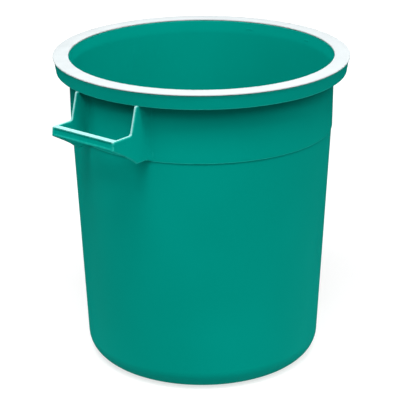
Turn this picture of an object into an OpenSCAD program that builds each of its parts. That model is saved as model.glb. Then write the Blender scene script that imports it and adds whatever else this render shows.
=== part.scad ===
// Open-top round tub of about 50 litres: tapered wall, stacking collar, skirted rim with a seated
// sealing ring, and two bracket handles. Millimetres, +Z up, origin at the centre of the foot.

/* [Tub] */
// Height from the floor to the top edges of the seal
tub_h = 488; // [460:1:520]
// Outside diameter of the wall where it would meet the floor
base_d = 365; // [350:1:375]
// Outside diameter of the wall just under the collar
wall_top_d = 402; // [398:0.5:402.5]
// Wall and floor thickness
wall_t = 2.2; // [1.8:0.1:3]
// Outside radius of the corner between wall and floor
foot_r = 34; // [28:1:38]
// Height of the hollow under the floor
recess_h = 5; // [4:0.5:7]
// Number of stiffening ribs under the floor
floor_ribs = 12; // [8:2:16]

/* [Collar] */
// Depth of the collar's foot below the seal's top edges
collar_drop = 112; // [105:1:125]
// How far the collar stands proud of the wall below it
collar_step = 1.1; // [0.6:0.1:1.6]
// Outside diameter of the collar at the rim
collar_top_d = 407; // [406:0.5:408]

/* [Rim] */
// Outside diameter of the rim
rim_d = 451; // [448:1:456]
// Depth of the bottom of the rim's skirt below the seal's top edges
rim_h = 24; // [21:0.5:26]
// How far the skirt draws in towards its bottom
skirt_draft = 3; // [1.5:0.5:3.5]
// Bore diameter at the rim's inner lip
mouth_d = 407.6; // [407:0.2:409]
// Depth of the seal groove's floor below the seal's top edges
groove_drop = 8; // [7:0.5:9]
// Number of ribs under the rim
rim_ribs = 24; // [16:8:24]

/* [Seal] */
// Drop of the seal's outer edge below its inner edge
seal_fall = 0.2; // [0:0.1:0.8]
// Bulge of the seal's top above the straight line between its edges
seal_bulge = 1.2; // [0.8:0.1:1.8]
// How far the seal's flange stands out past the rim
seal_over_out = 1.8; // [0.5:0.1:2.5]
// How far the seal's flange stands into the mouth
seal_over_in = 0.4; // [0.2:0.1:0.8]
// Free gap between the seal and each wall of its groove
seal_gap = 0.3; // [0.2:0.05:0.4]

/* [Handles] */
// Width of the handle over its two cheeks
handle_w = 120; // [112:1:128]
// Thickness of the handle's cheeks
cheek_t = 4.5; // [4:0.5:6]
// Distance from the tub's axis to the front of the grip bar
handle_reach = 268; // [262:1:274]
// Width of the grip bar's top
bar_w = 9.5; // [8:0.5:12]
// Depth of the grip bar's top below the seal's top edges
bar_drop = 64; // [60:0.5:67]
// Height of the grip bar
bar_h = 14; // [13:0.5:18]

/* [Hidden] */
plastic = [0.01, 0.52, 0.46];
seal_white = [0.96, 0.97, 0.98];
round_fn = 192;
arc_steps = 8;
// How far a rib runs into the wall it stands on, and a cutter past what it cuts
merge = 1;

// Wall and collar as straight lines in the section plane
collar_z = tub_h - collar_drop;
taper = atan((wall_top_d - base_d) / 2 / collar_z);
wall_slant_t = wall_t / cos(taper);
function wall_r(z) = base_d / 2 + z * tan(taper);
collar_foot_r = wall_top_d / 2 + collar_step;
rim_z = tub_h - rim_h;
function collar_r(z) = collar_foot_r + (collar_top_d / 2 - collar_foot_r) * (z - collar_z) / collar_drop;
bore_foot_r = wall_top_d / 2 - wall_slant_t;
bore_top_r = collar_top_d / 2 - wall_t;
function bore_r(z) = bore_foot_r + (bore_top_r - bore_foot_r) * (z - collar_z) / collar_drop;

// Corner between wall and floor: both surfaces are arcs about one centre
corner_r = wall_r(foot_r) - foot_r / cos(taper);
base_top = foot_r + 6;
foot_w = 11;
recess_run = 7;
recess_r = corner_r - foot_w - recess_run;

// Rim section: two round-topped lips of one height, with the seal's groove between them
lip_w = 3.4;
lip_drop = 2.3;
lip_z = tub_h - lip_drop;
mouth_r = mouth_d / 2;
groove_in_r = mouth_r + lip_w;
groove_out_r = rim_d / 2 - lip_w;
groove_z = tub_h - groove_drop;
// The bore flares from the rim's foot up to its inner lip
function flare_r(z) =
    bore_r(rim_z) + (mouth_r - bore_r(rim_z)) * (z - rim_z) / (lip_z - lip_w / 2 - rim_z);
plate_t = 3;
skirt_t = 3;
rim_rib_t = 2.2;
rim_rib_h = 8;
floor_rib_t = 2.5;
floor_rib_start = 26;
floor_rib_foot = 1;

// Handle section, measured outward from the axis and downward from the seal's top edges
cheek_root = 185;
cheek_top_reach = 218.6;
cheek_knee_reach = 229.5;
cheek_toe_reach = 219;
cheek_toe_drop = collar_drop - 2.5;
// The underside's two bends: how far behind the bar's front and below its foot they are
cheek_bends = [[22, 13], [36, 21.5]];
bar_lip = 1.6;
bar_lip_h = 2.5;
bar_lip_rise = 1.5;
bar_dish = 0.4;
bar_skin = 3;
bar_heel_h = 7;

function arc(x, z, r, from, to) =
    [for (i = [0 : arc_steps]) [x + r * cos(from + (to - from) * i / arc_steps),
                                z + r * sin(from + (to - from) * i / arc_steps)]];

module revolve(points) {
    rotate_extrude($fn = round_fn) polygon(points);
}

// Straight rib along +X from reach r0 to r1 and from height z0 to z1
module rib(r0, r1, z0, z1, t) {
    translate([r0, -t / 2, z0]) cube([r1 - r0, t, z1 - z0]);
}

module tub_base() {
    color(plastic) {
        revolve(concat(
            [[0, recess_h], [recess_r, recess_h], [recess_r + recess_run, 0]],
            arc(corner_r, foot_r, foot_r, 270, 360 - taper),
            [[wall_r(base_top), base_top], [wall_r(base_top) - wall_slant_t, base_top]],
            arc(corner_r, foot_r, foot_r - wall_t, 360 - taper, 270),
            [[recess_r + recess_run, wall_t], [recess_r, recess_h + wall_t], [0, recess_h + wall_t]]));
        for (i = [0 : floor_ribs - 1])
            rotate([0, 0, (i + 0.5) * 360 / floor_ribs])
                rib(floor_rib_start, recess_r, floor_rib_foot, recess_h + merge, floor_rib_t);
    }
}

module tub_wall() {
    color(plastic)
        revolve([
            [wall_r(base_top), base_top],
            [wall_top_d / 2, collar_z],
            [bore_foot_r, collar_z],
            [wall_r(base_top) - wall_slant_t, base_top]]);
}

module tub_collar() {
    color(plastic)
        revolve([
            [collar_foot_r, collar_z],
            [collar_r(rim_z), rim_z],
            [bore_r(rim_z), rim_z],
            [bore_foot_r, collar_z]]);
}

module rim_flange() {
    plate_z = groove_z - plate_t;
    skirt_r = rim_d / 2 - skirt_draft;
    color(plastic) {
        revolve(concat(
            [[bore_r(rim_z), rim_z], [collar_r(rim_z), rim_z], [flare_r(plate_z) + wall_t, plate_z],
             [rim_d / 2 - skirt_t, plate_z], [skirt_r - skirt_t, rim_z], [skirt_r, rim_z]],
            arc(rim_d / 2 - lip_w / 2, lip_z - lip_w / 2, lip_w / 2, 0, 180),
            [[groove_out_r, groove_z], [groove_in_r, groove_z]],
            arc(mouth_r + lip_w / 2, lip_z - lip_w / 2, lip_w / 2, 0, 180)));
        for (i = [0 : rim_ribs - 1])
            rotate([0, 0, (i + 0.5) * 360 / rim_ribs])
                rib(flare_r(plate_z) + wall_t / 4, rim_d / 2 - skirt_t,
                    plate_z - rim_rib_h, plate_z + merge, rim_rib_t);
    }
}

// The seal: a stem in the groove under a flange that covers both lips, with one arc as its top
module rim_seal() {
    in_r = mouth_r - seal_over_in;
    stem_in_r = groove_in_r + seal_gap;
    stem_out_r = groove_out_r - seal_gap;
    out_r = rim_d / 2 + seal_over_out;
    foot_z = groove_z + seal_gap;
    flange_z = lip_z + seal_gap;
    chord = norm([out_r - in_r, seal_fall]);
    tilt = atan(seal_fall / (out_r - in_r));
    bow_r = chord * chord / 8 / seal_bulge + seal_bulge / 2;
    half_angle = asin(chord / 2 / bow_r);
    mid = [(in_r + out_r) / 2, tub_h - seal_fall / 2];
    centre = mid - (bow_r - seal_bulge) * [sin(tilt), cos(tilt)];
    color(seal_white)
        revolve(concat(
            [[in_r, flange_z], [stem_in_r, flange_z], [stem_in_r, foot_z],
             [stem_out_r, foot_z], [stem_out_r, flange_z], [out_r, flange_z]],
            arc(centre[0], centre[1], bow_r, 90 - tilt - half_angle, 90 - tilt + half_angle)));
}

function drop(reach, depth) = [reach, tub_h - depth];

// Side view of a cheek: top edge, front edge, grip bar's end, then the curved underside
module cheek_outline() {
    bar_foot = bar_drop + bar_h;
    polygon([
        drop(cheek_root, rim_h),
        drop(cheek_top_reach, rim_h),
        drop(cheek_knee_reach, bar_drop),
        drop(handle_reach, bar_drop),
        drop(handle_reach + bar_lip, bar_foot),
        drop(handle_reach - cheek_bends[0][0], bar_foot + cheek_bends[0][1]),
        drop(handle_reach - cheek_bends[1][0], bar_foot + cheek_bends[1][1]),
        drop(cheek_toe_reach, cheek_toe_drop),
        drop(cheek_root, cheek_toe_drop)]);
}

// Section of the grip bar: a flat top, a web with a lip along its foot, and a short heel
module bar_section() {
    back = handle_reach - bar_w;
    bar_foot = bar_drop + bar_h;
    polygon([
        drop(back, bar_drop),
        drop(handle_reach, bar_drop),
        drop(handle_reach - bar_dish, bar_foot - bar_lip_h - bar_lip_rise),
        drop(handle_reach + bar_lip, bar_foot - bar_lip_h),
        drop(handle_reach + bar_lip, bar_foot),
        drop(handle_reach - bar_skin, bar_foot),
        drop(handle_reach - bar_skin, bar_drop + bar_skin),
        drop(back + bar_skin, bar_drop + bar_skin),
        drop(back + bar_skin, bar_drop + bar_heel_h),
        drop(back, bar_drop + bar_heel_h)]);
}

// Upright slab across the Y axis whose side view is the child outline, from y to y + t
module slab(y, t) {
    translate([0, y + t, 0]) rotate([90, 0, 0]) linear_extrude(height = t) children();
}

module handle() {
    cheek_y = handle_w / 2 - cheek_t;
    difference() {
        union() {
            slab(cheek_y, cheek_t) cheek_outline();
            slab(-handle_w / 2, cheek_t) cheek_outline();
            slab(-cheek_y, 2 * cheek_y) bar_section();
        }
        revolve([[0, collar_z - merge], [collar_r(collar_z - merge), collar_z - merge],
                 [collar_r(rim_z + merge), rim_z + merge], [0, rim_z + merge]]);
    }
}

module handle_right() {
    color(plastic) handle();
}

module handle_left() {
    color(plastic) rotate([0, 0, 180]) handle();
}

tub_base();
tub_wall();
tub_collar();
rim_flange();
rim_seal();
handle_left();
handle_right();
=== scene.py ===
"""Looks of an open-top round tub with a sealing ring and two bracket handles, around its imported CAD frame.

Lengths are in metres. Sizes come from the boxes of the CAD nodes, and the few that the boxes don't hold
are named below. Round pieces are skinned from outlines of (radius, height) corners, and the handles are
skinned from a distance field, so that every edge and root has a true fillet.
"""
import math

import bmesh
import bpy
import numpy as np
from mathutils import Matrix, Vector


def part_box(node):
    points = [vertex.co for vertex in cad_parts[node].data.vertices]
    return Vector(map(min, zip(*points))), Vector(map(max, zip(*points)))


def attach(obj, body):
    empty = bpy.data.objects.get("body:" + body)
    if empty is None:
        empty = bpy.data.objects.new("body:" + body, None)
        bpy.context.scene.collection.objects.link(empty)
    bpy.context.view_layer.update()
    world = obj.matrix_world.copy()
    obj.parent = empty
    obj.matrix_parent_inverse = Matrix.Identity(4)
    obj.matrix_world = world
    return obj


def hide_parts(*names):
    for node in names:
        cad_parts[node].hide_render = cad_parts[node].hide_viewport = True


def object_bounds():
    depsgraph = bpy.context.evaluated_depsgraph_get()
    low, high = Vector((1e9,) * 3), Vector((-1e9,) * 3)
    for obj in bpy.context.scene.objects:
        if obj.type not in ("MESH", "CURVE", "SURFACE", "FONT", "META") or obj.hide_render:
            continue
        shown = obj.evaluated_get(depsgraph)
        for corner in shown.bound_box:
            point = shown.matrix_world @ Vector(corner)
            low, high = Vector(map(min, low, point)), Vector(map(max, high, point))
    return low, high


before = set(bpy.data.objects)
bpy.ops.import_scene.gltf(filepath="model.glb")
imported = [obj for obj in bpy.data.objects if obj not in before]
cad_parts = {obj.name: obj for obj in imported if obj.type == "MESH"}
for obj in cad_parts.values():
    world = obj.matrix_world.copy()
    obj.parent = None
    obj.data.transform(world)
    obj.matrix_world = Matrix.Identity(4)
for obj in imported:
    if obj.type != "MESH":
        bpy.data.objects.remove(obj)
cad_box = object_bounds()
MM = 0.001
HAIR = 0.1 * MM

# ---------------------------------------------------------------------------------------------- sizes
base_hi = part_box("tub_base")[1]
wall_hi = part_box("tub_wall")[1]
collar_lo, collar_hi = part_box("tub_collar")
rim_lo, rim_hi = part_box("rim_flange")
seal_lo, seal_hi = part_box("rim_seal")
grip_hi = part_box("handle_right")[1]

# Sizes that the boxes don't hold, the same as in the CAD
WALL_T = 2.2 * MM
COLLAR_STEP = 1.1 * MM
FOOT_R = 34 * MM
RECESS_H = 5 * MM
RECESS_IN = 18 * MM
RECESS_RUN = 7 * MM
FLOOR_RIBS = 12
FLOOR_RIB_T = 2.5 * MM
FLOOR_RIB_START = 26 * MM
MOUTH_R = 203.8 * MM
LIP_W = 3.4 * MM
LIP_DROP = 2.3 * MM
GROOVE_DROP = 8 * MM
PLATE_T = 3 * MM
SKIRT_T = 3 * MM
SKIRT_DRAFT = 3 * MM
RIM_RIBS = 24
RIM_RIB_T = 2.2 * MM
RIM_RIB_H = 8 * MM
SEAL_GAP = 0.3 * MM
SEAL_FALL = 0.2 * MM
SEAL_BULGE = 1.2 * MM
SEAL_OVER_IN = 0.4 * MM
CHEEK_T = 4.5 * MM
GRIP_LIP = 1.6 * MM
GRIP_W = 9.5 * MM
GRIP_H = 14 * MM
GRIP_DROP = 64 * MM

# Wall and collar as straight lines in the section plane
wall_slope = (wall_hi.x - base_hi.x) / (wall_hi.z - base_hi.z)
wall_slant_t = WALL_T * math.hypot(1, wall_slope)
foot_line_r = base_hi.x - wall_slope * base_hi.z
collar_foot_r = wall_hi.x + COLLAR_STEP
collar_slope = (collar_hi.x - collar_foot_r) / (collar_hi.z - collar_lo.z)
bore_foot_r = wall_hi.x - wall_slant_t
rim_top = rim_hi.z + LIP_DROP
bore_top_r = collar_foot_r + collar_slope * (rim_top - collar_lo.z) - WALL_T
bore_slope = (bore_top_r - bore_foot_r) / (rim_top - collar_lo.z)


def collar_r(z):
    """Outside radius of the collar's line at height z."""
    return collar_foot_r + collar_slope * (z - collar_lo.z)


def bore_r(z):
    """Inside radius of the collar's line at height z."""
    return bore_foot_r + bore_slope * (z - collar_lo.z)


# ----------------------------------------------------------------------------------------- mesh tools
ARC_TURN = math.radians(9)
SUPPORT = 0.7 * MM
SHARP = math.radians(38)
ROUND_COLUMNS = 288
FULL_BEND = 600.0


def rounded(corners, closed=True):
    """Points along an outline whose corners (r, z, fillet radius) are rounded by arcs."""
    points = []
    last = len(corners) - 1
    for i, (r, z, radius) in enumerate(corners):
        here = Vector((r, z))
        if radius == 0 or (not closed and i in (0, last)):
            points.append(here)
            continue
        back = (Vector(corners[i - 1][:2]) - here).normalized()
        on = (Vector(corners[(i + 1) % (last + 1)][:2]) - here).normalized()
        half = back.angle(on) / 2
        centre = here + (back + on).normalized() * radius / math.sin(half)
        start = here + back * radius / math.tan(half) - centre
        end = here + on * radius / math.tan(half) - centre
        steps = max(3, round(start.angle(end) / ARC_TURN))
        points += [centre + radius * start.slerp(end, k / steps) for k in range(steps + 1)]
    return supported(points, closed)


def supported(points, closed):
    """The same outline with two more points near each end of its long straight stretches."""
    out = []
    for i, here in enumerate(points):
        out.append(here)
        if i == len(points) - 1 and not closed:
            break
        run = points[(i + 1) % len(points)] - here
        if run.length > 8 * SUPPORT:
            step = run.normalized() * SUPPORT
            out += [here + step, here + 3 * step, here + run - 3 * step, here + run - step]
    return np.array([tuple(p) for p in out])


def bow(start, end, bulge, steps=12):
    """Points between start and end on the arc that stands bulge proud of their chord, ends left out."""
    start, end = Vector(start), Vector(end)
    chord = end - start
    out = Vector((-chord.y, chord.x)).normalized()
    radius = chord.length ** 2 / (8 * bulge) + bulge / 2
    centre = (start + end) / 2 - out * (radius - bulge)
    a, b = start - centre, end - centre
    return [tuple(centre + radius * a.slerp(b, k / steps)) for k in range(1, steps)]


def columns(ribs, offsets, plain):
    """Columns round the axis for a piece with ribs: rows of (angle a, offset a, angle b, offset b, share).

    A column stands at its offset from a rib's centre plane, or at a share of the way to the next rib."""
    rows = []
    pitch = 2 * math.pi / ribs
    edge = offsets[-1]
    for i in range(ribs):
        centre = (i + 0.5) * pitch
        for offset in [-o for o in reversed(offsets[1:])] + list(offsets):
            rows.append((centre, offset, centre, offset, 0.0))
        for k in range(1, plain):
            rows.append((centre, edge, centre + pitch, -edge, k / plain))
    return np.array(rows)


def rib_columns(ribs, thickness, plain):
    """Columns for a piece with ribs of that thickness, and each column's share of the ribbed outline."""
    half = thickness / 2
    offsets = [0, 0.6 * half, 0.85 * half, half, half + 0.2 * MM, half + 0.6 * MM]
    share_at = [1, 1, 0.97, 0.8, 0.12, 0]
    cols = columns(ribs, offsets, plain)
    return cols, np.where(cols[:, 4] > 0, 0, np.interp(np.abs(cols[:, 1]), offsets, share_at))


def spin(outline, cols=None, rib_outline=None, rib_share=None, least_r=1e-9):
    """Grid of points (column, outline point, xyz) of an outline turned about the axis."""
    if cols is None:
        angles = np.linspace(0, 2 * math.pi, ROUND_COLUMNS, endpoint=False)
        cols = np.stack([angles, 0 * angles, angles, 0 * angles, 0 * angles], 1)
    share = np.zeros(len(cols)) if rib_share is None else rib_share
    other = outline if rib_outline is None else rib_outline
    flat = outline[None] * (1 - share[:, None, None]) + other[None] * share[:, None, None]
    r, z = flat[..., 0], flat[..., 1]
    reach = np.maximum(r, least_r)
    one = cols[:, 0:1] + np.arcsin(np.clip(cols[:, 1:2] / reach, -1, 1))
    two = cols[:, 2:3] + np.arcsin(np.clip(cols[:, 3:4] / reach, -1, 1))
    angle = one * (1 - cols[:, 4:5]) + two * cols[:, 4:5]
    return np.stack([r * np.cos(angle), r * np.sin(angle), z], 2)


def skin(name, grid, closed=True):
    """One closed mesh over a grid that wraps round the axis. An open outline starts and ends on the axis."""
    n_col, n_row = grid.shape[:2]
    index = np.arange(n_col * n_row).reshape(n_col, n_row)
    if not closed:
        index[:, 0] = index[0, 0]
        index[:, -1] = index[0, -1]
    faces = []
    for i in range(n_col):
        here, there = index[i], index[(i + 1) % n_col]
        for j in range(n_row if closed else n_row - 1):
            k = (j + 1) % n_row
            quad = (here[j], there[j], there[k], here[k])
            faces.append(tuple(dict.fromkeys(int(v) for v in quad)))
    return make_object(name, grid.reshape(-1, 3), faces)


def make_object(name, points, faces):
    """Object from points and faces, with its normals outward and its sharp edges marked."""
    mesh = bpy.data.meshes.new(name)
    mesh.from_pydata([tuple(p) for p in points], [], faces)
    bm = bmesh.new()
    bm.from_mesh(mesh)
    bmesh.ops.delete(bm, geom=[v for v in bm.verts if not v.link_faces], context="VERTS")
    bmesh.ops.recalc_face_normals(bm, faces=bm.faces)
    bm.to_mesh(mesh)
    bm.free()
    mesh.polygons.foreach_set("use_smooth", np.ones(len(mesh.polygons), bool))
    mesh.set_sharp_from_angle(angle=SHARP)
    obj = bpy.data.objects.new(name, mesh)
    bpy.context.scene.collection.objects.link(obj)
    mark_bends(mesh)
    return obj


def mark_bends(mesh):
    """Vertex attributes that say how tightly the surface bends: edge on outer corners, nook in inner ones.

    Both are 1 at a bend of FULL_BEND radians a metre and more. Sharp edges are left out, since they are
    where two pieces of one moulding meet. The third attribute, the mask of the painted highlight on the
    handles, starts at zero, for mark_grip_highlight."""
    count = len(mesh.vertices)
    co = np.empty(count * 3)
    no = np.empty(count * 3)
    mesh.vertices.foreach_get("co", co)
    mesh.vertices.foreach_get("normal", no)
    co, no = co.reshape(-1, 3), no.reshape(-1, 3)
    ends = np.empty(len(mesh.edges) * 2, int)
    mesh.edges.foreach_get("vertices", ends)
    a, b = ends.reshape(-1, 2).T
    run = co[b] - co[a]
    bend = ((no[b] - no[a]) * run).sum(1) / np.maximum((run ** 2).sum(1), 1e-12)
    creased = np.zeros(count, bool)
    sharp = mesh.attributes.get("sharp_edge")
    if sharp:
        on = np.empty(len(mesh.edges), bool)
        sharp.data.foreach_get("value", on)
        creased[ends.reshape(-1, 2)[on]] = True
    bend[creased[a] | creased[b]] = 0
    high, low = np.zeros(count), np.zeros(count)
    for end in (a, b):
        np.maximum.at(high, end, bend)
        np.minimum.at(low, end, bend)
    for name, value in (("edge", high / FULL_BEND), ("nook", -low / FULL_BEND), ("grip_highlight", 0 * high)):
        value = np.clip(value, 0, 1)
        total, n = value.copy(), np.ones(count)
        np.add.at(total, a, value[b])
        np.add.at(total, b, value[a])
        np.add.at(n, a, 1)
        np.add.at(n, b, 1)
        value = total / n
        mesh.attributes.new(name, "FLOAT", "POINT").data.foreach_set("value", value.astype(np.float32))


# ------------------------------------------------------------------------------------ distance fields
def polygon_field(points, x, z):
    """Signed distance from (x, z) to a polygon, negative inside."""
    nearest = np.full(x.shape, np.inf)
    sign = np.ones(x.shape)
    for (ax, az), (bx, bz) in zip(points, points[-1:] + points[:-1]):
        ex, ez = bx - ax, bz - az
        wx, wz = x - ax, z - az
        t = np.clip((wx * ex + wz * ez) / (ex * ex + ez * ez), 0, 1)
        nearest = np.minimum(nearest, (wx - ex * t) ** 2 + (wz - ez * t) ** 2)
        above, below, left = z >= az, z < bz, ex * wz > ez * wx
        sign = np.where((above & below & left) | (~above & ~below & ~left), -sign, sign)
    return sign * np.sqrt(nearest)


def inset(points, by):
    """The polygon moved inward by that much, with mitred corners. Its points run clockwise."""
    out = []
    for i, here in enumerate(points):
        here = Vector(here)
        back = (here - Vector(points[i - 1])).normalized()
        on = (Vector(points[(i + 1) % len(points)]) - here).normalized()
        side = Vector((back.y, -back.x)) + Vector((on.y, -on.x))
        out.append(tuple(here + side * by / (1 + back.dot(on))))
    return out


def round_polygon(points, radius, x, z):
    """Field of a polygon whose outer corners are rounded."""
    return polygon_field(inset(points, radius), x, z) - radius


def join(a, b, radius):
    """Union of two fields with a fillet of that radius between them."""
    u, v = np.maximum(radius - a, 0), np.maximum(radius - b, 0)
    return np.maximum(radius, np.minimum(a, b)) - np.hypot(u, v)


def slab(side, across, radius):
    """Field of an extruded outline with rounded edges, from its side view and its across field."""
    u, v = side + radius, across + radius
    return np.minimum(np.maximum(u, v), 0) + np.hypot(np.maximum(u, 0), np.maximum(v, 0)) - radius


def surface_net(field, lo, hi, pitch):
    """Quads around every grid edge where the field changes sign, settled onto the field's surface."""
    axes = [np.arange(a, b + pitch, pitch) for a, b in zip(lo, hi)]
    nodes = np.stack(np.meshgrid(*axes, indexing="ij"), -1)
    value = field(nodes.reshape(-1, 3)).reshape(nodes.shape[:3])
    inside = value < 0
    cells = tuple(n - 1 for n in value.shape)
    total, hits = np.zeros(cells + (3,)), np.zeros(cells)

    def part(array, corner):
        return array[tuple(slice(c, c + n) for c, n in zip(corner, cells))]

    for axis in range(3):
        for p in (0, 1):
            for q in (0, 1):
                low = [p, q]
                low.insert(axis, 0)
                high = list(low)
                high[axis] = 1
                v0, v1 = part(value, low), part(value, high)
                cut = (v0 < 0) != (v1 < 0)
                t = np.where(cut, v0 / np.where(cut, v0 - v1, 1), 0)
                spot = part(nodes, low) + t[..., None] * (part(nodes, high) - part(nodes, low))
                total += spot * cut[..., None]
                hits += cut
    mixed = hits > 0
    ids = np.full(cells, -1)
    ids[mixed] = np.arange(mixed.sum())
    points = total[mixed] / hits[mixed][:, None]
    faces = []
    for axis in range(3):
        turned, cell_ids = np.moveaxis(inside, axis, 0), np.moveaxis(ids, axis, 0)
        i, j, k = np.nonzero(turned[:-1, 1:-1, 1:-1] != turned[1:, 1:-1, 1:-1])
        around = ((0, 0), (1, 0), (1, 1), (0, 1))
        faces.append(np.stack([cell_ids[i, j + dj, k + dk] for dj, dk in around], 1))
    faces = np.concatenate(faces)
    return settle(points, faces, field, pitch), [tuple(int(v) for v in f) for f in faces]


def settle(points, faces, field, pitch, rounds=5):
    """Evens out the net's points and moves each onto the surface along the field's slope."""
    pairs = np.concatenate([faces[:, [0, 1]], faces[:, [1, 2]], faces[:, [2, 3]], faces[:, [3, 0]]])
    h = pitch * 0.02
    for turn in range(rounds):
        total, n = np.zeros_like(points), np.zeros(len(points))
        np.add.at(total, pairs[:, 0], points[pairs[:, 1]])
        np.add.at(total, pairs[:, 1], points[pairs[:, 0]])
        np.add.at(n, pairs.ravel(), 1)
        if turn < rounds - 1:
            points = points + 0.5 * (total / n[:, None] - points)
        for _ in range(3):
            steps = [field(points + h * np.eye(3)[k]) - field(points - h * np.eye(3)[k]) for k in range(3)]
            slope = np.stack(steps, 1) / (2 * h)
            size = np.maximum((slope ** 2).sum(1), 0.25)
            move = -(field(points) / size)[:, None] * slope
            length = np.linalg.norm(move, axis=1, keepdims=True)
            points = points + move * np.minimum(1, 0.5 * pitch / np.maximum(length, 1e-12))
    return points


# ------------------------------------------------------------------------------------------ materials
def clamp_mix(nodes, links, factor, a, b):
    """Colour mix of two sockets or colours by a factor socket."""
    mix = nodes.new("ShaderNodeMix")
    mix.data_type = "RGBA"
    links.new(factor, mix.inputs["Factor"])
    for socket, value in ((mix.inputs["A"], a), (mix.inputs["B"], b)):
        if isinstance(value, tuple):
            socket.default_value = (*value, 1)
        else:
            links.new(value, socket)
    return mix.outputs["Result"]


class Recipe:
    """A principled material and short ways to add noises, ranges and bumps in the object's own frame."""

    def __init__(self, name, ior, gloss=0.5, tint=(1, 1, 1)):
        self.material = bpy.data.materials.new(name)
        self.material.use_nodes = True
        tree = self.material.node_tree
        self.nodes, self.links = tree.nodes, tree.links
        self.shader = self.nodes["Principled BSDF"]
        self.shader.inputs["IOR"].default_value = ior
        self.shader.inputs["Specular IOR Level"].default_value = gloss
        self.shader.inputs["Specular Tint"].default_value = (*tint, 1)
        self.shader.inputs["Diffuse Roughness"].default_value = 0.7
        self.place = self.nodes.new("ShaderNodeTexCoord").outputs["Object"]
        self.normal = None

    def noise(self, scale, detail=2.0, roughness=0.5, stretch=None):
        """Noise from 0 to 1 of that many cells a metre, longer along the axes where stretch is small."""
        node = self.nodes.new("ShaderNodeTexNoise")
        node.inputs["Scale"].default_value = scale
        node.inputs["Detail"].default_value = detail
        node.inputs["Roughness"].default_value = roughness
        place = self.place
        if stretch:
            mapping = self.nodes.new("ShaderNodeMapping")
            mapping.inputs["Scale"].default_value = stretch
            self.links.new(place, mapping.inputs["Vector"])
            place = mapping.outputs["Vector"]
        self.links.new(place, node.inputs["Vector"])
        return node.outputs["Fac"]

    def attribute(self, name):
        """A vertex attribute of the mesh, from mark_bends or mark_grip_highlight."""
        node = self.nodes.new("ShaderNodeAttribute")
        node.attribute_name = name
        return node.outputs["Fac"]

    def span(self, value, low, high, to_low=0.0, to_high=1.0):
        """Value carried from low..high to to_low..to_high and held there."""
        node = self.nodes.new("ShaderNodeMapRange")
        self.links.new(value, node.inputs["Value"])
        for socket, number in zip(("From Min", "From Max", "To Min", "To Max"), (low, high, to_low, to_high)):
            node.inputs[socket].default_value = number
        return node.outputs["Result"]

    def math(self, operation, a, b):
        """Sum, product or the like of two sockets, or of a socket and a number."""
        node = self.nodes.new("ShaderNodeMath")
        node.operation = operation
        for socket, value in ((node.inputs[0], a), (node.inputs[1], b)):
            if isinstance(value, (int, float)):
                socket.default_value = value
            else:
                self.links.new(value, socket)
        return node.outputs["Value"]

    def bump(self, height, distance, strength=1.0):
        """Relief of that distance in metres, on top of the bumps that were added before."""
        node = self.nodes.new("ShaderNodeBump")
        node.inputs["Distance"].default_value = distance
        node.inputs["Strength"].default_value = strength
        self.links.new(height, node.inputs["Height"])
        if self.normal:
            self.links.new(self.normal, node.inputs["Normal"])
        self.normal = node.outputs["Normal"]
        self.links.new(self.normal, self.shader.inputs["Normal"])

    def colour(self, socket):
        self.links.new(socket, self.shader.inputs["Base Color"])

    def roughness(self, socket):
        self.links.new(socket, self.shader.inputs["Roughness"])


TEAL = (0.0, 0.24, 0.193)
TEAL_DEEP = (0.0, 0.225, 0.179)
TEAL_FRESH = (0.0, 0.252, 0.204)
TEAL_SCUFFED = (0.006, 0.275, 0.227)
# Painted highlight colour for convex edges
TEAL_EDGE_HIGHLIGHT = (0.05, 0.66, 0.55)
# Painted highlight colour for the grips' tops and the cheeks' front edges
TEAL_GRIP_HIGHLIGHT = (0.3, 0.56, 0.55)
TEAL_SHEEN = (0.0, 1.0, 0.86)
RING_WHITE = (0.485, 0.52, 0.53)
RING_SHADE = (0.46, 0.495, 0.505)
RING_GRIME = (0.42, 0.47, 0.46)
FLOOR_DEEP = (0.33, 0.33, 0.33)
FLOOR_PALE = (0.36, 0.36, 0.36)


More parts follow.
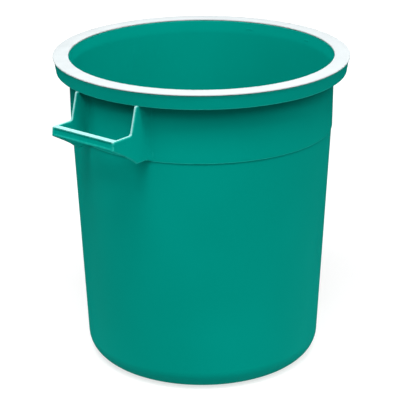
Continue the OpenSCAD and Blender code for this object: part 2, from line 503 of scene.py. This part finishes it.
def tub_plastic():
    """Moulded polyethylene: fine grain, slow ripples, faint drawn scuffs, painted highlights along convex
    edges and on the grips' tops, and painted shade in inner corners. It is almost without gloss."""
    m = Recipe("tub_plastic", ior=1.25, gloss=0.02, tint=TEAL_SHEEN)
    cloud = m.span(m.noise(4, detail=2), 0.35, 0.65)
    body = clamp_mix(m.nodes, m.links, cloud, TEAL_DEEP, TEAL_FRESH)
    mottle = m.span(m.noise(240, detail=5, roughness=0.65), 0.35, 0.7)
    body = clamp_mix(m.nodes, m.links, m.math("MULTIPLY", mottle, 0.5), body, TEAL)
    drawn = m.span(m.noise(1, detail=5, roughness=0.65, stretch=(420, 420, 14)), 0.62, 0.8)
    patch = m.span(m.noise(9, detail=2), 0.5, 0.7)
    scuff = m.math("MULTIPLY", m.math("MULTIPLY", drawn, patch), 0.5)
    body = clamp_mix(m.nodes, m.links, scuff, body, TEAL_SCUFFED)
    edge = m.attribute("edge")
    # Painted highlight: convex edges are painted a paler teal, broken up by noise
    highlight_noise = m.span(m.noise(170, detail=4), 0.3, 0.6, 0.35, 1.0)
    painted_edge_highlight = m.math("MULTIPLY", m.math("MULTIPLY", m.span(edge, 0.2, 0.9), highlight_noise), 0.3)
    # Painted highlight: the grips' tops and cheek edges, where the lights catch them, are painted a pale teal
    painted_grip_highlight = m.math("MULTIPLY", m.attribute("grip_highlight"), m.span(highlight_noise, 0.35, 1.0, 0.82, 1.0))
    body = clamp_mix(m.nodes, m.links, painted_edge_highlight, body, TEAL_EDGE_HIGHLIGHT)
    body = clamp_mix(m.nodes, m.links, painted_grip_highlight, body, TEAL_GRIP_HIGHLIGHT)
    # Painted shade: inner corners and creases are darkened towards the deep teal
    painted_nook_shade = m.math("MULTIPLY", m.span(m.attribute("nook"), 0.1, 0.8), 0.4)
    m.colour(clamp_mix(m.nodes, m.links, painted_nook_shade, body, TEAL_DEEP))
    rough = m.span(m.noise(60, detail=5, roughness=0.65), 0.3, 0.7, 0.4, 0.5)
    m.roughness(m.math("ADD", rough, m.math("MULTIPLY", scuff, 0.3)))
    m.bump(m.noise(16, detail=1), 0.03 * MM)
    m.bump(m.noise(1500, detail=2, roughness=0.6), 0.012 * MM)
    return m.material


def ring_rubber():
    """Pale sealing ring: satin, a little marked by hands, with grime held along its two edges."""
    m = Recipe("seal_white", ior=1.45)
    cloud = m.span(m.noise(14, detail=3), 0.35, 0.65)
    body = clamp_mix(m.nodes, m.links, cloud, RING_SHADE, RING_WHITE)
    specks = m.math("MULTIPLY", m.span(m.noise(420, detail=4, roughness=0.7), 0.66, 0.78), 0.25)
    body = clamp_mix(m.nodes, m.links, specks, body, RING_GRIME)
    side = m.math("MULTIPLY", m.span(m.attribute("edge"), 0.5, 1.0), m.span(m.noise(90, detail=3), 0.4, 0.7))
    m.colour(clamp_mix(m.nodes, m.links, m.math("MULTIPLY", side, 0.2), body, RING_GRIME))
    m.roughness(m.span(m.noise(55, detail=4), 0.3, 0.7, 0.38, 0.55))
    m.bump(m.noise(60, detail=2), 0.03 * MM)
    m.bump(m.noise(1800, detail=2), 0.01 * MM)
    return m.material


def floor_paint():
    """Plain pale studio floor with a barely visible mottle, which glows so that it looks white."""
    m = Recipe("floor_paint", ior=1.2)
    cloud = m.span(m.noise(1.5, detail=3), 0.3, 0.7)
    m.colour(clamp_mix(m.nodes, m.links, cloud, FLOOR_DEEP, FLOOR_PALE))
    m.shader.inputs["Roughness"].default_value = 0.9
    m.shader.inputs["Emission Color"].default_value = (1, 1, 1, 1)
    m.shader.inputs["Emission Strength"].default_value = FLOOR_GLOW
    return m.material


# --------------------------------------------------------------------------------------------- pieces
def finish_piece(obj, material, body, node):
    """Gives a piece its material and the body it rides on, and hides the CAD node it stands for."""
    obj.data.materials.append(material)
    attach(obj, body)
    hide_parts(node)
    return obj


def base_piece():
    """Floor and foot corner, with a ribbed recess and the gate in its ring groove under the floor."""
    corner_r = foot_line_r + wall_slope * FOOT_R - FOOT_R * math.hypot(1, wall_slope)
    recess_r = corner_r - RECESS_IN
    rib_foot = 1 * MM
    rib_lead = 0.8 * MM
    lead_points = [(FLOOR_RIB_START + k * rib_lead, RECESS_H, 0) for k in (-1.5, -0.5, 0.5, 1.5)]
    inner_r = base_hi.x - wall_slant_t
    gate_r, gate_z = 3.2 * MM, RECESS_H - 2 * MM
    groove_in, groove_out, groove_side = 12 * MM, 14 * MM, 1 * MM
    groove_z = RECESS_H + 0.5 * MM
    under = [(0, gate_z, 0), (gate_r, gate_z, 0.4 * MM), (gate_r + 0.4 * MM, RECESS_H, 0.3 * MM),
             (groove_in - groove_side, RECESS_H, 0), (groove_in, groove_z, 0.4 * MM),
             (groove_out, groove_z, 0.4 * MM), (groove_out + groove_side, RECESS_H, 0)]
    outline = rounded(
        under + lead_points + [
            (recess_r, RECESS_H, 4 * MM), (recess_r + RECESS_RUN, 0, 3 * MM), (foot_line_r, 0, FOOT_R),
            (base_hi.x, base_hi.z, 0), (inner_r, base_hi.z, 0),
            (inner_r - wall_slope * (base_hi.z - WALL_T), WALL_T, FOOT_R - WALL_T),
            (recess_r + RECESS_RUN, WALL_T, 3 * MM), (recess_r, RECESS_H + WALL_T, 4 * MM),
            (0, RECESS_H + WALL_T, 0)],
        closed=False)
    ribbed = outline.copy()
    r, z = outline.T
    is_under = (np.arange(len(r)) < np.argmax(r)) & (r < recess_r + RECESS_RUN)
    rise = np.clip((r - FLOOR_RIB_START + rib_lead) / (2 * rib_lead), 0, 1)
    ribbed[:, 1] = np.where(is_under, z + (np.minimum(z, rib_foot) - z) * rise, z)
    cols, share = rib_columns(FLOOR_RIBS, FLOOR_RIB_T, plain=14)
    grid = spin(outline, cols, ribbed, share, least_r=12 * MM)
    return skin("base", grid, closed=False)


def wall_piece():
    """Tapered side wall."""
    return skin("side_wall", spin(rounded([
        (base_hi.x, base_hi.z, 0), (wall_hi.x, wall_hi.z, 0),
        (bore_foot_r, wall_hi.z, 0), (base_hi.x - wall_slant_t, base_hi.z, 0)])))


def collar_piece():
    """Collar above the crease, a little proud of the wall."""
    return skin("collar", spin(rounded([
        (collar_foot_r, collar_lo.z, 0.5 * MM), (collar_hi.x, collar_hi.z, 0),
        (bore_r(collar_hi.z), collar_hi.z, 0), (bore_foot_r, collar_lo.z, 0)])))


def rim_piece():
    """Rim with a drawn-in skirt, two lips with the seal's groove between them, and ribs in its channel."""
    skirt_r = rim_hi.x - SKIRT_DRAFT
    groove_z = rim_top - GROOVE_DROP
    plate_z = groove_z - PLATE_T
    foot = rim_lo.z
    lip_z = rim_hi.z
    flare_foot = foot + 4 * MM
    shoulder_z = lip_z - 2.2 * MM
    flare_slope = (MOUTH_R - bore_r(foot)) / (lip_z - LIP_W / 2 - foot)
    riser_r = bore_r(foot) + flare_slope * (plate_z - foot) + WALL_T
    lip_r = 1.5 * MM
    groove_in, groove_out = MOUTH_R + LIP_W, rim_hi.x - LIP_W
    solid = [
        (bore_r(foot), foot, 0), (bore_r(flare_foot), flare_foot, 40 * MM),
        (MOUTH_R, shoulder_z, 1.5 * MM),
        (MOUTH_R, lip_z, lip_r), (groove_in, lip_z, lip_r),
        (groove_in, groove_z, 0.4 * MM), (groove_out, groove_z, 0.4 * MM),
        (groove_out, lip_z, lip_r), (rim_hi.x, lip_z, lip_r), (rim_hi.x, shoulder_z, 2 * MM),
        (skirt_r, foot, 1 * MM), (skirt_r - SKIRT_T, foot, 1 * MM)]
    channel = [(rim_hi.x - SKIRT_T, plate_z, 1.5 * MM), (riser_r, plate_z, 1.5 * MM),
               (collar_r(foot), foot, 0)]
    plain = rounded(solid + channel)
    r, z = plain.T
    level = foot + 1 * MM
    skirt_middle = skirt_r + SKIRT_DRAFT * (z - foot) / (lip_z - foot) - SKIRT_T / 2
    inner = (z > level) & (z < groove_z - MM) & (r < skirt_middle) & (r > collar_r(z) - HAIR)
    ribbed = plain.copy()
    squeeze = (plate_z - RIM_RIB_H - level) / (plate_z - level)
    ribbed[:, 1] = np.where(inner, level + (z - level) * squeeze, z)
    cols, share = rib_columns(RIM_RIBS, RIM_RIB_T, plain=7)
    return skin("rim", spin(plain, cols, ribbed, share))


def seal_piece():
    """Sealing ring: a stem in the groove, a flange over both lips and a crowned top.

    A hair-thin notch on the +X side marks where its ends are joined. Its depth is a share of the way
    from the outline to the section's middle."""
    in_r = MOUTH_R - SEAL_OVER_IN
    out_r = seal_hi.x
    stem_in = MOUTH_R + LIP_W + SEAL_GAP
    stem_out = rim_hi.x - LIP_W - SEAL_GAP
    flange_z = rim_hi.z + SEAL_GAP
    inner_top = (in_r, rim_top)
    outer_top = (out_r, rim_top - SEAL_FALL)
    crown = [(r, z, 0) for r, z in bow(inner_top, outer_top, SEAL_BULGE)]
    outline = rounded([
        (stem_in, seal_lo.z, 0.6 * MM), (stem_in, flange_z, 0.4 * MM), (in_r, flange_z, 0.4 * MM),
        (*inner_top, 0.8 * MM), *crown, (*outer_top, 1.2 * MM),
        (out_r, flange_z, 0.4 * MM), (stem_out, flange_z, 0.4 * MM), (stem_out, seal_lo.z, 0.6 * MM)])
    notch_depth = 0.03
    notched = outline + notch_depth * (outline.mean(0) - outline)
    offsets = [0, 0.15 * MM, 0.4 * MM]
    cols = columns(1, offsets, plain=ROUND_COLUMNS)
    share = np.where(cols[:, 4] > 0, 0, np.interp(np.abs(cols[:, 1]), offsets, [1, 1, 0]))
    return skin("seal_ring", spin(outline, cols, notched, share) * (-1, -1, 1))


# Handles: roundings, how far the root's fillet is trimmed, how deep the root stands in the collar, and
# the net's pitch, at which no edge of the net is shared by four faces
CHEEK_EDGE_R = 1.5 * MM
ROOT_R = 7 * MM
ROOT_TRIM = 0.25 * MM
EMBED = 1.6 * MM
NET_PITCH = 1.07 * MM

# Corners of the handle's side view: back from the grip's front, and down from the grip's top (web), down
# from its foot (chin and jaw) or up from the collar's foot (toe)
RIM_BACK = 49.4 * MM
KNEE_BACK = 38.5 * MM
WEB_BACK, WEB_DOWN = 42 * MM, 22 * MM
CHIN_BACK, CHIN_DOWN = 22 * MM, 13 * MM
JAW_BACK, JAW_DOWN = 36 * MM, 21.5 * MM
TOE_BACK, TOE_UP = 49 * MM, 2.5 * MM

# How far the post stands out of the collar's foot radius and of the rim's foot, and the bar's thickness
POST_OUT = 6 * MM
BAR_T = 3 * MM


def grip_outlines():
    """Side views (reach, height) of the handle, clockwise: web, arm, the bar's section and the post that
    reaches up into the rim's channel above a cheek."""
    top = rim_top - GRIP_DROP
    foot = top - GRIP_H
    reach = grip_hi.x - GRIP_LIP
    root = collar_foot_r - 25 * MM
    sunk = rim_lo.z + 0.4 * MM
    web = [(root, sunk), (reach - RIM_BACK, sunk), (reach - KNEE_BACK, top),
           (reach - WEB_BACK, top - WEB_DOWN), (root, top - WEB_DOWN)]
    toe = collar_lo.z + TOE_UP
    arm = [(root, top), (reach, top), (reach + GRIP_LIP, foot), (reach - CHIN_BACK, foot - CHIN_DOWN),
           (reach - JAW_BACK, foot - JAW_DOWN), (reach - TOE_BACK, toe), (root, toe)]
    back = reach - GRIP_W
    hem = top - 7 * MM
    bar = [(back, top), (reach, top), (reach, top - 2.4 * MM), (reach - 1.1 * MM, top - 3.4 * MM),
           (reach + 0.2 * MM, foot + 4.4 * MM), (reach + GRIP_LIP, foot + BAR_T), (reach + GRIP_LIP, foot),
           (reach - BAR_T, foot), (reach - BAR_T, top - BAR_T), (back + BAR_T, top - BAR_T),
           (back + BAR_T, hem), (back, hem)]
    post_r, post_hi, post_lo = collar_foot_r + POST_OUT, rim_lo.z + POST_OUT, rim_lo.z - POST_OUT
    channel_post = [(root, post_hi), (post_r, post_hi), (post_r, post_lo), (root, post_lo)]
    return web, arm, bar, channel_post


def handle_field(points):
    """Distance field of the right handle, filleted onto the collar and cut off just inside its surface."""
    web, arm, bar, post = grip_outlines()
    x, y, z = points.T
    y = np.abs(y)
    side = join(round_polygon(web, 2 * MM, x, z), round_polygon(arm, 1.6 * MM, x, z), 3.5 * MM)
    side = np.minimum(side, polygon_field(post, x, z))
    section = round_polygon(bar, 0.7 * MM, x, z)
    half = grip_hi.y
    cheek = slab(side, np.abs(y - half + CHEEK_T / 2) - CHEEK_T / 2, CHEEK_EDGE_R)
    grip = slab(section, y - half + CHEEK_T / 2, 0.7 * MM)
    both = np.maximum(join(cheek, grip, 1.5 * MM), np.minimum(side, section))
    tub = (np.hypot(x, y) - collar_r(z)) / math.hypot(1, collar_slope)
    below = collar_lo.z + 3 * HAIR - z
    return np.maximum.reduce([join(both, tub, ROOT_R), -tub - EMBED, both - ROOT_R + ROOT_TRIM, below])


def mark_grip_highlight(mesh):
    """Vertex attribute that masks a painted highlight: the grip bar's top and the front edges of the cheeks
    above it, on faces that turn up and outward, towards the lights.
    """
    count = len(mesh.vertices)
    co, no = np.empty(count * 3), np.empty(count * 3)
    mesh.vertices.foreach_get("co", co)
    mesh.vertices.foreach_get("normal", no)
    co, no = co.reshape(-1, 3), no.reshape(-1, 3)
    # Painted highlight goes on faces that turn up and outward, towards the lights
    up_and_out = 0.9 * no[:, 2] + 0.55 * no[:, 0] * np.sign(co[:, 0])
    faces_light = np.clip((up_and_out - 0.62) / 0.14, 0, 1)
    above_bar = co[:, 2] - (rim_top - GRIP_DROP) + 2.4 * MM
    high = np.clip(above_bar / MM, 0, 1)
    off_collar = np.hypot(co[:, 0], co[:, 1]) - collar_r(co[:, 2])
    clear = np.clip((off_collar - 5 * MM) / (4 * MM), 0, 1)
    value = (faces_light * high * clear).astype(np.float32)
    mesh.attributes["grip_highlight"].data.foreach_set("value", value)


def handle_pieces():
    """The two handles: one net, and the same net turned half round the axis."""
    margin = 3 * MM
    lo = (collar_foot_r - 18 * MM, -grip_hi.y - ROOT_R - margin, collar_lo.z - margin)
    hi = (grip_hi.x + margin, grip_hi.y + ROOT_R + margin, rim_lo.z + POST_OUT + ROOT_R + margin)
    points, faces = surface_net(handle_field, lo, hi, NET_PITCH)
    right = make_object("handle_grip_right", points, faces)
    left = make_object("handle_grip_left", points * np.array([-1, -1, 1]), faces)
    for obj in (left, right):
        mark_grip_highlight(obj.data)
    return left, right


plastic = tub_plastic()
finish_piece(base_piece(), plastic, "tub", "tub_base")
finish_piece(wall_piece(), plastic, "tub", "tub_wall")
finish_piece(collar_piece(), plastic, "tub", "tub_collar")
finish_piece(rim_piece(), plastic, "tub", "rim_flange")
finish_piece(seal_piece(), ring_rubber(), "seal", "rim_seal")
left_handle, right_handle = handle_pieces()
finish_piece(left_handle, plastic, "tub", "handle_left")
finish_piece(right_handle, plastic, "tub", "handle_right")

# ----------------------------------------------------------------------------------------------- stage
# The camera stands off the left handle's side, looks down at the mouth and is almost level
CAMERA_AZIMUTH = math.radians(-50.5)
CAMERA_REACH = 2.4526
CAMERA_HEIGHT = 1.1586
CAMERA_PITCH = math.radians(20.41)
CAMERA_YAW = math.radians(-0.08)
CAMERA_ROLL = math.radians(-0.33)
CAMERA_LENS = 148.9
CAMERA_SENSOR = 36

# The floor ends near the tub, so that less of its light reaches the shade under the rim
FLOOR_GLOW = 0.7
FLOOR_HALF = 1.2
WORLD_WHITE = 1.2

# Soft lights: name, azimuth and elevation in degrees from the camera's own side, side in metres, watts
LIGHT_DISTANCE = 3.0
LIGHT_AIM_Z = 0.3
SOFTBOXES = (
    ("front_high_left", -25, 65, 0.8, 48),
    ("front_high_right", 25, 65, 0.8, 41),
    ("front", 0, 38, 0.8, 19),
    ("front_left", -20, 50, 0.8, 24),
    ("side_left", -60, 42, 1.6, 20),
    ("side_right", 60, 42, 1.6, 46),
)


def add_camera():
    """The picture's camera, placed by an azimuth from -Y, a reach from the axis and a height."""
    data = bpy.data.cameras.new("camera")
    data.sensor_width = CAMERA_SENSOR
    data.lens = CAMERA_LENS
    camera = bpy.data.objects.new("camera", data)
    bpy.context.scene.collection.objects.link(camera)
    turn = Matrix.Rotation(CAMERA_AZIMUTH - CAMERA_YAW, 4, "Z")
    aim = turn @ Matrix.Rotation(math.pi / 2 - CAMERA_PITCH, 4, "X") @ Matrix.Rotation(CAMERA_ROLL, 4, "Z")
    x, y = CAMERA_REACH * math.sin(CAMERA_AZIMUTH), -CAMERA_REACH * math.cos(CAMERA_AZIMUTH)
    camera.matrix_world = Matrix.Translation((x, y, CAMERA_HEIGHT)) @ aim
    bpy.context.scene.camera = camera


def add_softbox(name, azimuth, elevation, side, power):
    """Square soft light at an azimuth and elevation in degrees, counted from the camera's own side."""
    data = bpy.data.lights.new(name, "AREA")
    data.shape = "SQUARE"
    data.size = side
    data.energy = power
    light = bpy.data.objects.new(name, data)
    bpy.context.scene.collection.objects.link(light)
    turn, rise = CAMERA_AZIMUTH + math.radians(azimuth), math.radians(elevation)
    target = Vector((0, 0, LIGHT_AIM_Z))
    out = math.cos(rise)
    towards = Vector((math.sin(turn) * out, -math.cos(turn) * out, math.sin(rise)))
    light.location = target + LIGHT_DISTANCE * towards
    light.rotation_euler = (target - light.location).to_track_quat("-Z", "Y").to_euler()
    light.visible_camera = False


def add_floor():
    """Square floor under the foot, which shiny surfaces don't mirror."""
    bm = bmesh.new()
    bmesh.ops.create_grid(bm, x_segments=24, y_segments=24, size=FLOOR_HALF)
    mesh = bpy.data.meshes.new("floor")
    bm.to_mesh(mesh)
    bm.free()
    floor = bpy.data.objects.new("floor", mesh)
    floor.location.z = cad_box[0][2]
    bpy.context.scene.collection.objects.link(floor)
    floor.visible_glossy = False
    mesh.materials.append(floor_paint())


def add_world():
    """White surroundings that are seen but light nothing."""
    world = bpy.data.worlds.new("studio")
    world.use_nodes = True
    world.node_tree.nodes["Background"].inputs["Color"].default_value = (1, 1, 1, 1)
    world.node_tree.nodes["Background"].inputs["Strength"].default_value = WORLD_WHITE
    bpy.context.scene.world = world
    world.cycles_visibility.diffuse = False
    world.cycles_visibility.glossy = False


bpy.context.scene.view_settings.view_transform = "Standard"
add_camera()
add_floor()
add_world()
for softbox in SOFTBOXES:
    add_softbox(*softbox)
